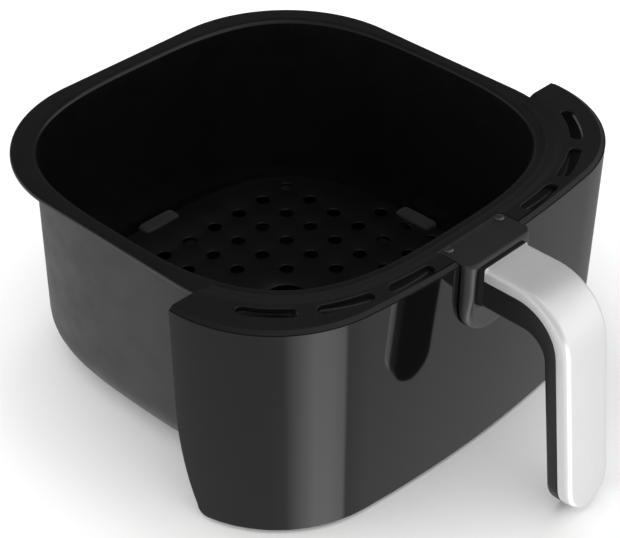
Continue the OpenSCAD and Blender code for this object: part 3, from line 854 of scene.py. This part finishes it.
def base_pad():
    """The tongue's front as a height field over (x, z), round at its foot.

    Thickness = edge + (ridge - edge) * side rise, rolled over at the top and less a groove beside
    the arm; the ridge thins towards the foot. Where the arm stands, the pad has full thickness.
    """
    radius = BASE_HIGH.x
    top = BASE_HIGH.z
    foot = BASE_LOW.z
    centre = foot + radius
    b = quarter_turn(13)
    tuck = 0.0002           # the arm's root stays this far inside the cover's outline
    step = 0.00005          # height over which the front steps back above the arm
    arm_top = COVER_HIGH.z - tuck
    arm_low = PAN_HIGH.z - sizes().arm_depth
    half_arm = COVER_HIGH.x - tuck
    z = np.concatenate([spread(foot, centre, 36), np.linspace(centre, arm_top, 34)[1:],
                        [arm_top + step], top - PAD_ROLL + PAD_ROLL * np.sin(b)])
    half = np.where(z < centre, np.sqrt(np.maximum(radius ** 2 - (centre - z) ** 2, 0)), radius)
    share = half_arm / radius
    side_u = share + (1 - share) * np.sin(quarter_turn(24))
    u = np.concatenate([-side_u[::-1], np.linspace(-share + 1e-4, share - 1e-4, 21), side_u])
    x = half[:, None] * u[None, :]
    zz = np.broadcast_to(z[:, None], x.shape)
    side = np.where(zz < centre, radius - np.hypot(x, zz - centre), radius - abs(x))
    side = np.maximum(side, 0)
    full = BASE_BACK - BASE_LOW.y
    thin, thicken = 0.002, 0.03     # height of the thin foot, then the height it thickens over
    ridge = PAD_FOOT + (COLLAR - PAD_FOOT) * smooth_step((zz - foot - thin) / thicken)
    rolled = PAD_ROLL * (1 - rise(top - zz, PAD_ROLL)) * rise(side, PAD_SIDE)
    thick = PAD_EDGE + (ridge - PAD_EDGE) * rise(side, PAD_SIDE) - rolled
    beside = 1 - smooth_step((abs(x) - half_arm) / GROOVE_WIDTH)
    below_arm, fade = 0.002, 0.006  # the groove starts this far below the arm, and fades in
    level = smooth_step((zz - arm_low + below_arm) / fade) * (top - zz > PAD_ROLL)
    thick = thick - GROOVE_DEPTH * beside * level
    arm = (abs(u)[None, :] < share) & (zz > arm_low + 0.0003) & (zz < arm_top + 0.00001)
    thick = np.where(arm, full, thick)
    y = BASE_BACK - thick
    return xyz(x, y, zz), xyz(x, np.full_like(x, BASE_BACK), zz)


def saddle_plate():
    """The base's top plate: the frame's own side profile carried across the base's width."""
    s = sizes()
    top, under = BASE_HIGH.z, PANEL_HIGH.z + 0.0002
    grow, ramp = ramp_profile(np.linspace(0, 1, 25), top)
    keep = ramp > under + 0.0001
    grow, ramp = grow[keep], ramp[keep]
    half = BASE_HIGH.x - 0.0001
    corner = 0.00025
    x = half * np.sin(np.linspace(-np.pi / 2, np.pi / 2, 25))
    round_off = corner * (1 - rise(half - abs(x), corner))
    mouth = [(s.mouth_depth / 2 + g) * (1 - (abs(x) / (s.mouth_width / 2 + g)) ** s.mouth_power)
             ** (1 / s.mouth_power) for g in grow]
    rows = [xyz(x, -y, z - round_off) for y, z in zip(mouth, ramp)]
    start = -mouth[-1] - 0.001
    rows += [xyz(x, start + (BASE_BACK - start) * share, top - round_off)
             for share in np.linspace(0, 1, 6)]
    upper = np.array(rows)
    lower = upper.copy()
    lower[..., 2] = under
    skin = Skin()
    skin.shell(upper, lower)
    return skin.build("handle_base_plate")


class DRAWER_OT_handle_base(bpy.types.Operator):
    """Saddle on the frame that swells into the handle, with a round-footed tongue"""

    bl_idname = "drawer.handle_base"
    bl_label = "Handle base"

    def execute(self, context):
        skin = Skin()
        skin.shell(*base_pad())
        grey = moulded("Satin grey moulding", colours().base, 0.34, specular=0.6)
        tongue = skin.build("handle_base_tongue", smooth_angle=40)
        dress(tongue, grey, "drawer", "base_plastic", "handle_base")
        plate = saddle_plate()
        dress(plate, grey, "drawer", "base_plastic")
        return {"FINISHED"}


# ---------------------------------------------------------------- screws on the base

def screw_head(cx, cy, z, radius, height):
    """A pan-head screw: a dome with a cross recess cut as a height field over (r, angle)."""
    t = full_turn(96)
    r = radius * np.sin(quarter_turn(22))
    rr, tt = np.meshgrid(r, t, indexing="ij")
    dome = height * (1 - (rr / radius) ** 4) ** 0.5
    x, y = rr * np.cos(tt), rr * np.sin(tt)
    arm = radius * 0.13
    reach = radius * 0.62
    blade = np.minimum(abs(x), abs(y)) - arm
    depth = smooth_step(-blade / (arm * 0.8)) * smooth_step((reach - rr) / (radius * 0.15))
    recess, sunk = 0.55 * height, 0.0004
    top = xyz(cx + x, cy + y, z + dome - recess * depth)
    skirt = polar(radius, t, z - sunk) + (cx, cy, 0)
    return np.concatenate([top, skirt[None]])


class DRAWER_OT_base_screws(bpy.types.Operator):
    """Two cross-head screws on the handle base"""

    bl_idname = "drawer.base_screws"
    bl_label = "Base screws"

    def execute(self, context):
        radius = (SCREWS_HIGH.y - SCREWS_LOW.y) / 2
        cy = (SCREWS_HIGH.y + SCREWS_LOW.y) / 2
        skin = Skin()
        for side in (-1, 1):
            cx = side * (SCREWS_HIGH.x - radius)
            height = SCREWS_HIGH.z - FRAME_HIGH.z
            skin.grid(screw_head(cx, cy, FRAME_HIGH.z, radius, height), wrap=True)
        piece = skin.build("base_screw_heads", smooth_angle=45)
        steel = sheet_metal("Blackened screws", (0.16, 0.16, 0.165, 1), 0.38)
        dress(piece, steel, "drawer", "dark_screw", "base_screws")
        return {"FINISHED"}


# ---------------------------------------------------------------- handle

class HandleLine:
    """Side view of the handle: a level arm, an arc and a leaning grip.

    Each face is level from the root to its bend, turns through an arc and leans to the tip. The
    arc starts at bend_y = corner - bend * tan(45 degrees - lean / 2), which sets it in the corner.
    """

    ARM, ARC, GRIP = 14, 26, 40     # stations along the three stretches

    def __init__(self, root):
        self.lean = sizes().grip_lean
        self.root = root
        self.turns = np.linspace(0, np.pi / 2 - self.lean, self.ARC)[1:]

    def face(self, level, corner, bend, tip_z):
        """Stations (y, z) of one face, whose straight runs would meet at (-corner, level)."""
        bend_y = corner - bend * np.tan(np.pi / 4 - self.lean / 2)
        arc_y = -bend_y - bend * np.sin(self.turns)
        arc_z = level - bend * (1 - np.cos(self.turns))
        share = np.sin(quarter_turn(self.GRIP))[1:]
        z = arc_z[-1] + (tip_z - arc_z[-1]) * share
        y = arc_y[-1] - (arc_z[-1] - z) * np.tan(self.lean)
        return np.stack([np.concatenate([spread(-self.root, -bend_y, self.ARM), arc_y, y]),
                         np.concatenate([np.full(self.ARM, level), arc_z, z])], -1)

    def under(self, tip_z):
        """The handle's underside."""
        s = sizes()
        corner = (s.grip_corner + s.arm_depth * np.tan(self.lean)
                  - s.grip_depth / np.cos(self.lean))
        return self.face(PAN_HIGH.z - s.arm_depth, corner, s.inner_bend, tip_z)

    def outer(self, tip_z):
        """The handle's outer face, with its inward normals (y, z)."""
        s = sizes()
        angle = np.concatenate([np.zeros(self.ARM), self.turns,
                                np.full(self.GRIP - 1, np.pi / 2 - self.lean)])
        normals = np.stack([np.sin(angle), -np.cos(angle)], -1)
        return self.face(PAN_HIGH.z, s.grip_corner, s.bend_radius, tip_z), normals


def round_section(width, depth, outer, inner, steps=7):
    """A rounded rectangle in (x, d): outer-corner radius at d = 0, inner-corner radius at depth.

    width, depth and the radii have one entry a station; the result is stations x points x 2.
    """
    a = quarter_turn(steps)
    half = width / 2
    outer = np.minimum(outer, half)
    inner = np.minimum(inner, half)
    parts = []
    for side, deep, r, flip in ((1, False, outer, False), (1, True, inner, True),
                                (-1, True, inner, False), (-1, False, outer, True)):
        b = a[::-1] if flip else a
        x = side * (half[:, None] - r[:, None] * (1 - np.sin(b)))
        d = r[:, None] * (1 - np.cos(b))
        parts.append(np.stack([x, depth[:, None] - d if deep else d], -1))
    return np.concatenate(parts, axis=1)


def tip_width(z, tip_z, width):
    """Full width at height z of a handle whose tip is a half circle in front view."""
    r = width / 2
    flat = 0.0004
    drop = np.clip(tip_z + r - z, 0, r)
    return np.maximum(2 * np.sqrt(np.maximum(r ** 2 - drop ** 2, 0)), flat)


def sweep(skin, points, normals, section):
    """Carries a section (x, d) along stations: place = outer point + d * inward normal."""
    y = points[:, None, 0] + section[..., 1] * normals[:, None, 0]
    z = points[:, None, 1] + section[..., 1] * normals[:, None, 1]
    grid = xyz(section[..., 0], y, z)
    skin.grid(grid, wrap=True)
    start = grid[0]
    mirrored = start[::-1]
    half = len(start) // 2
    skin.grid(np.array([start[:half], mirrored[:half]]))


class DRAWER_OT_handle_cover(bpy.types.Operator):
    """Satin silver outer half of the handle"""

    bl_idname = "drawer.handle_cover"
    bl_label = "Handle cover"

    def execute(self, context):
        s = sizes()
        width = COVER_HIGH.x - COVER_LOW.x
        line = HandleLine(-COVER_HIGH.y)
        tip = COVER_LOW.z + s.cover_depth * np.sin(s.grip_lean)
        points, normals = line.outer(tip)
        wide = tip_width(points[:, 1], tip, width)
        seam = 0.0002
        depth = np.full(len(points), s.cover_depth - seam)
        corner, root_corner, seam_corner = 0.0032, 0.0012, 0.0004
        grown = np.minimum(np.arange(len(points)) / 2, 1)
        section = round_section(wide, depth, corner * grown + root_corner * (1 - grown),
                                np.full(len(points), seam_corner))
        skin = Skin()
        sweep(skin, points, normals, section)
        piece = skin.build("handle_cover_shell", smooth_angle=42)
        silver = silver_paint("Satin silver paint", colours().silver)
        dress(piece, silver, "drawer", "silver_cover", "handle_cover")
        return {"FINISHED"}


class DRAWER_OT_handle_inner(bpy.types.Operator):
    """Black inner half of the handle, deeper along the arm than down the grip"""

    bl_idname = "drawer.handle_inner"
    bl_label = "Handle inner"

    def execute(self, context):
        s = sizes()
        narrower, buried, shorter = 0.0006, 0.002, 0.0004
        width = INNER_HIGH.x - INNER_LOW.x - narrower
        line = HandleLine(-INNER_HIGH.y - buried)
        tip = INNER_LOW.z + shorter
        points, normals = line.outer(tip)
        start = points + normals * s.cover_depth
        under = line.under(tip)
        across = under - start
        depth = np.hypot(*across.T)
        wide = tip_width(points[:, 1], tip, width)
        seam_corner, corner = 0.0005, 0.002
        section = round_section(wide, depth, np.full(len(points), seam_corner),
                                np.full(len(points), corner))
        skin = Skin()
        sweep(skin, start, across / depth[:, None], section)
        piece = skin.build("handle_inner_shell", smooth_angle=42)
        black = moulded("Satin black grip", colours().grip, 0.36)
        dress(piece, black, "drawer", "grip_plastic", "handle_inner")
        return {"FINISHED"}


# ---------------------------------------------------------------- crisper plate

def fill_outline(outline, holes):
    """Triangles that fill an outline round a set of circular holes, by constrained Delaunay."""
    loops = [outline] + [ring for ring, _, _ in holes]
    points, edges, base = [], [], 0
    for loop in loops:
        n = len(loop)
        points += [Vector(p) for p in loop.tolist()]
        edges += [(base + i, base + (i + 1) % n) for i in range(n)]
        base += n
    result = delaunay_2d_cdt(points, edges, [], 1, 1e-7)
    verts = np.array([tuple(v) for v in result[0]])
    tris = np.array(result[2])
    middle = verts[tris].mean(axis=1)
    keep = np.ones(len(tris), bool)
    for _, centre, radius in holes:
        keep &= np.hypot(*(middle - centre).T) > radius * 0.97
    return verts, tris[keep]


def plate_radius(t, inset):
    """Outline of the crisper plate: the mouth's oval drawn in to the plate's own width."""
    s = sizes()
    return mouth_radius(t, PLATE_HIGH.x - s.mouth_width / 2 - inset)


def plate_holes(edge):
    """Circles for the drain holes on a square lattice, and the finger hole in the middle."""
    s = sizes()
    reach = int(PLATE_HIGH.x / s.hole_pitch)
    web = 0.003         # least metal between the finger hole and a drain hole
    centres = [(0.0, 0.0, s.finger_radius, 48)]
    for ix in range(-reach, reach + 1):
        for iy in range(-reach, reach + 1):
            x, y = ix * s.hole_pitch, iy * s.hole_pitch
            far = np.hypot(x, y)
            limit = plate_radius(np.arctan2(y, x), 0) - s.hole_radius * 2.8
            if s.finger_radius + s.hole_radius + web < far < limit:
                centres.append((x, y, s.hole_radius, 20))
    holes = []
    for x, y, r, n in centres:
        a = full_turn(n)
        ring = np.stack([x + (r + edge) * np.cos(a), y + (r + edge) * np.sin(a)], -1)
        holes.append((ring, np.array([x, y]), r + edge))
    return holes


# The crisper plate's sheet and its rounded edge, then the legs' strip and their distance out
PLATE_SHEET = 0.0015
PLATE_EDGE = 0.0005
LEG_SHEET = 0.0014
LEG_EDGE = 0.0004
LEG_WIDTH = 0.024
LEG_OUT = 0.084
LEG_BEND = 0.003


class DRAWER_OT_crisper_plate(bpy.types.Operator):
    """Perforated crisper plate with rounded holes, a rolled edge and four bent legs"""

    bl_idname = "drawer.crisper_plate"
    bl_label = "Crisper plate"

    def execute(self, context):
        top, edge = PLATE_HIGH.z, PLATE_EDGE
        t = full_turn(180)
        holes = plate_holes(edge)
        verts, tris = fill_outline(polar(plate_radius(t, edge), t, top)[:, :2], holes)
        skin = Skin()
        for z, flip in ((top, False), (top - PLATE_SHEET, True)):
            skin.triangles(np.column_stack([verts, np.full(len(verts), z)]), tris, flip)
        profile = [(0, 0), (edge * 0.7, edge * 0.3), (edge, edge)]
        profile += [(out, PLATE_SHEET - drop) for out, drop in reversed(profile)]
        rings = [polar(plate_radius(t, edge - out), t, top - drop) for out, drop in profile]
        skin.grid(np.array(rings), wrap=True)
        for ring, centre, radius in holes:
            rings = [np.column_stack([centre + (ring - centre) * (1 - out / radius),
                                      np.full(len(ring), top - drop)]) for out, drop in profile]
            skin.grid(np.array(rings), wrap=True)
        piece = skin.build("crisper_plate_sheet", smooth_angle=50, join=1e-6)
        coat = non_stick("Plate coating", colours().coating, 0.33)
        dress(piece, coat, "crisper", "plate_nonstick", "crisper_plate")
        legs = Skin()
        for quarter in range(4):
            legs.grid(self.leg(quarter, top - PLATE_SHEET * 0.5 - 0.0008), wrap=True)
        stand = legs.build("crisper_plate_legs", smooth_angle=45)
        dress(stand, coat, "crisper", "plate_nonstick")
        return {"FINISHED"}

    def leg(self, quarter, top):
        """A bent tab: a rounded section carried out from under the plate and down."""
        a = quarter_turn(7)
        r = np.concatenate([[LEG_OUT - 0.014], LEG_OUT - LEG_BEND * (1 - np.sin(a)),
                            [LEG_OUT, LEG_OUT]])
        z = np.concatenate([[top], top - LEG_BEND * (1 - np.cos(a)), [0.006, PLATE_LOW.z]])
        angle = np.concatenate([[0], a, [np.pi / 2, np.pi / 2]])
        wide = np.array([LEG_WIDTH] * (len(r) - 2) + [0.023, 0.018])
        corners = np.full(len(r), LEG_EDGE)
        section = round_section(wide, np.full(len(r), LEG_SHEET), corners, corners, 3)
        ends = [np.broadcast_to(end.mean(axis=0), (1, *end.shape)) for end in section[[0, -1]]]
        section = np.concatenate([ends[0], section, ends[1]])
        r, z, angle = (np.pad(values, 1, "edge")[:, None] for values in (r, z, angle))
        x, y = r + np.sin(angle) * (LEG_SHEET - section[..., 1]), section[..., 0]
        turn = quarter * np.pi / 2
        return xyz(x * np.cos(turn) - y * np.sin(turn), x * np.sin(turn) + y * np.cos(turn),
                   z - np.cos(angle) * section[..., 1])


def bumper_mesh(node):
    """A soft block over the plate's edge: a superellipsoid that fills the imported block's box."""
    low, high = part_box(node)
    centre, half = (low + high) / 2, (high - low) / 2
    u = np.linspace(-np.pi / 2, np.pi / 2, 25)[:, None]
    v = full_turn(48)[None, :]

    def power(x, e):
        return np.sign(x) * abs(x) ** e

    upright, level = 0.35, 0.28     # exponents: 1 for an ellipsoid, 0 for a box
    x = centre.x + half.x * power(np.cos(u), upright) * power(np.cos(v), level)
    y = centre.y + half.y * power(np.cos(u), upright) * power(np.sin(v), level)
    z = centre.z + half.z * power(np.sin(u), upright)
    skin = Skin()
    skin.grid(xyz(x, y, z), wrap=True)
    return skin.build(node + "_block", smooth_angle=60)


class DRAWER_OT_bumpers(bpy.types.Operator):
    """Silicone bumpers on the crisper plate's edge"""

    bl_idname = "drawer.bumpers"
    bl_label = "Bumpers"

    def execute(self, context):
        silicone = rubbery("Silicone", colours().silicone)
        for side in ("front", "back", "left", "right"):
            node = "bumper_" + side
            dress(bumper_mesh(node), silicone, "crisper", "silicone", node)
        return {"FINISHED"}


# ---------------------------------------------------------------- pieces kept from the model

class DRAWER_OT_hidden_parts(bpy.types.Operator):
    """Metal and moulded parts behind the panel and inside the handle, kept in shape"""

    bl_idname = "drawer.hidden_parts"
    bl_label = "Hidden parts"

    def execute(self, context):
        # The bracket steel and the shield's aluminium are darkened as painted shade, dark enough
        # that the view through the vent slots stays black.
        finishes = {
            sheet_metal("Bracket steel in painted shade", (0.13, 0.13, 0.135, 1), 0.45, (1, 1, 0.05)):
                ("pan_bracket", "weld_studs", "handle_core"),
            sheet_metal("Shield aluminium in painted shade", (0.2, 0.2, 0.205, 1), 0.42, (0.04, 1, 1)):
                ("heat_shield",),
            sheet_metal("Zinc-plated steel", (0.55, 0.56, 0.58, 1), 0.28):
                ("shield_screws", "panel_screws", "handle_bolts", "bolt_washers", "bolt_sleeves"),
            sheet_metal("Brass", (0.66, 0.46, 0.18, 1), 0.3):
                ("handle_inserts",),
            sheet_metal("Dark grip screws", (0.1, 0.1, 0.1, 1), 0.4):
                ("handle_screws",),
            moulded("Black ribs", colours().frame, 0.5):
                ("panel_bosses", "interlock_tab"),
        }
        for material, nodes in finishes.items():
            for node in nodes:
                piece = frame["nodes"][node]
                piece.data.materials.clear()
                piece.data.materials.append(material)
        return {"FINISHED"}


# ---------------------------------------------------------------- studio

# Strengths of the even light and of what gloss reflects
EVEN_STRENGTH = 1.2
GLOSS_STRENGTH = 3.6
# Bearing in degrees from +X towards +Y, and light level: below eye level, where a strip lights
# the bowed panel; then up to 30 degrees above it; then the ceiling
LOW_LIGHT = ((-180, 0.19), (-142, 0.21), (-130, 0.24), (-117, 0.58), (-104, 0.86), (-92, 0.82),
             (-78, 0.60), (-75, 0.22), (-45, 0.22), (-20, 0.18), (10, 0.09), (40, 0.05),
             (80, 0.16), (115, 0.2), (135, 0.14), (180, 0.19))
HIGH_LIGHT = ((-180, 0.08), (-100, 0.1), (-65, 0.26), (-20, 0.26), (0, 0.05), (25, 0.02),
              (90, 0.03), (120, 0.12), (180, 0.08))
CEILING_LIGHT = ((-180, 0.06), (-60, 0.18), (-35, 0.18), (0, 0.03), (25, 0.012), (90, 0.012),
                 (180, 0.06))


def studio_world():
    """An even white studio for soft light, and a dimmer one with a bright strip for gloss.

    Reflections read three ramps round the horizon, blended by height: below eye level, low above
    it and the ceiling. Every other ray sees plain white.
    """
    world = bpy.data.worlds.new("Studio")
    world.use_nodes = True
    tree = world.node_tree
    even = tree.nodes["Background"]
    even.inputs["Color"].default_value = (1, 1, 1, 1)
    even.inputs["Strength"].default_value = EVEN_STRENGTH

    def math(kind, *inputs):
        node = tree.nodes.new("ShaderNodeMath")
        node.operation = kind
        for socket, value in zip(node.inputs, inputs):
            if isinstance(value, (int, float)):
                socket.default_value = value
            else:
                tree.links.new(value, socket)
        return node.outputs["Value"]

    place = tree.nodes.new("ShaderNodeTexCoord")
    split = tree.nodes.new("ShaderNodeSeparateXYZ")
    tree.links.new(place.outputs["Generated"], split.inputs["Vector"])
    bearing = math("ARCTAN2", split.outputs["Y"], split.outputs["X"])
    turn = math("MULTIPLY_ADD", bearing, 0.5 / np.pi, 0.5)

    def ramp(source, stops):
        node = tree.nodes.new("ShaderNodeValToRGB")
        table = node.color_ramp
        while len(table.elements) < len(stops):
            table.elements.new(1)
        for element, (position, level) in zip(table.elements, stops):
            element.position = position
            element.color = (level, level, level, 1)
        tree.links.new(source, node.inputs["Fac"])
        return node.outputs["Color"]

    def mix(share, below, above):
        node = tree.nodes.new("ShaderNodeMix")
        node.data_type = "RGBA"
        tree.links.new(share, node.inputs["Factor"])
        tree.links.new(below, node.inputs[6])
        tree.links.new(above, node.inputs[7])
        return node.outputs[2]

    low, high, ceiling = (ramp(turn, [(degree / 360 + 0.5, level) for degree, level in stops])
                          for stops in (LOW_LIGHT, HIGH_LIGHT, CEILING_LIGHT))
    level = math("MULTIPLY_ADD", split.outputs["Z"], 0.5, 0.5)
    horizon = mix(ramp(level, ((0.42, 0), (0.5, 1))), low, high)
    blend = mix(ramp(level, ((0.73, 0), (0.78, 1))), horizon, ceiling)
    gloss = tree.nodes.new("ShaderNodeBackground")
    gloss.inputs["Strength"].default_value = GLOSS_STRENGTH
    tree.links.new(blend, gloss.inputs["Color"])
    path = tree.nodes.new("ShaderNodeLightPath")
    choose = tree.nodes.new("ShaderNodeMixShader")
    tree.links.new(path.outputs["Is Glossy Ray"], choose.inputs[0])
    tree.links.new(even.outputs[0], choose.inputs[1])
    tree.links.new(gloss.outputs[0], choose.inputs[2])
    tree.links.new(choose.outputs[0], tree.nodes["World Output"].inputs["Surface"])
    return world


class DRAWER_OT_studio(bpy.types.Operator):
    """Pale floor, soft lights and the camera"""

    bl_idname = "drawer.studio"
    bl_label = "Studio"

    def execute(self, context):
        scene = context.scene
        self.floor()
        self.camera(scene)
        self.lights(scene)
        scene.view_settings.view_transform = "Standard"
        return {"FINISHED"}

    def floor(self):
        t = full_turn(96)
        radii = (0.0, 0.5, 1.5, 4.0, 8.0)
        below_table = 0.0002
        skin = Skin()
        skin.grid(np.array([polar(r, t, -below_table) for r in radii]), wrap=True)
        floor = skin.build("studio_floor")
        if floor.data.polygons[0].normal.z < 0:
            floor.data.flip_normals()
        paper = new_material("Pale paper", colours().floor, 0.8)
        shader_of(paper).inputs["Specular IOR Level"].default_value = 0.1
        floor.data.materials.append(paper)
        floor.visible_glossy = False

    def camera(self, scene):
        data = bpy.data.cameras.new("Camera")
        camera = bpy.data.objects.new("Camera", data)
        scene.collection.objects.link(camera)
        azimuth, elevation = np.radians(-45.74), np.radians(36.19)
        distance = 0.86606
        target = np.array([-0.07355, -0.08973, PAN_HIGH.z])
        back = np.array([np.sin(azimuth) * np.cos(elevation),
                         -np.cos(azimuth) * np.cos(elevation), np.sin(elevation)])
        camera.location = target + distance * back
        camera.rotation_euler = (np.pi / 2 - elevation, 0, azimuth)
        data.sensor_width = 36
        data.lens = 105.92
        data.clip_end = 50
        scene.camera = camera

    def lights(self, scene):
        scene.world = studio_world()
        self.softbox("Side softbox", (-1.7, 1.2, 0.5), (0, 0, 0.08), (1.0, 0.7), 9)
        self.softbox("Top softbox", (0.5, 0.5, 1.9), (0, 0, 0.1), (0.35, 0.35), 3)

    def softbox(self, name, place, target, size, power):
        data = bpy.data.lights.new(name, "AREA")
        data.shape = "RECTANGLE"
        data.size, data.size_y = size
        data.energy = power
        light = bpy.data.objects.new(name, data)
        bpy.context.scene.collection.objects.link(light)
        light.location = place
        direction = Vector(target) - Vector(place)
        light.rotation_euler = direction.to_track_quat("-Z", "Y").to_euler()
        light.visible_camera = False
        light.visible_glossy = False


# ---------------------------------------------------------------- panel and registration

OPERATORS = (
    DRAWER_OT_studio, DRAWER_OT_pan, DRAWER_OT_vent_frame, DRAWER_OT_front_panel,
    DRAWER_OT_handle_base, DRAWER_OT_base_screws, DRAWER_OT_handle_inner,
    DRAWER_OT_handle_cover, DRAWER_OT_crisper_plate, DRAWER_OT_bumpers,
    DRAWER_OT_hidden_parts,
)


class DRAWER_PT_pieces(bpy.types.Panel):
    """Lists the drawer's pieces in the sidebar"""

    bl_label = "Air fryer drawer"
    bl_space_type = "VIEW_3D"
    bl_region_type = "UI"
    bl_category = "Drawer"

    def draw(self, context):
        for operator in OPERATORS:
            self.layout.operator(operator.bl_idname)
        for group in (context.scene.drawer_sizes, context.scene.drawer_colours):
            for name in group.bl_rna.properties.keys():
                if name not in ("rna_type", "name"):
                    self.layout.prop(group, name)


CLASSES = (DrawerSizes, DrawerColours, *OPERATORS, DRAWER_PT_pieces)


def register():
    for cls in CLASSES:
        bpy.utils.register_class(cls)
    bpy.types.Scene.drawer_sizes = PointerProperty(type=DrawerSizes)
    bpy.types.Scene.drawer_colours = PointerProperty(type=DrawerColours)


def unregister():
    del bpy.types.Scene.drawer_colours
    del bpy.types.Scene.drawer_sizes
    for cls in reversed(CLASSES):
        bpy.utils.unregister_class(cls)


def main():
    """Builds every piece."""
    register()
    for operator in OPERATORS:
        group, name = operator.bl_idname.split(".")
        getattr(getattr(bpy.ops, group), name)()


if __name__ == "__main__":
    main()
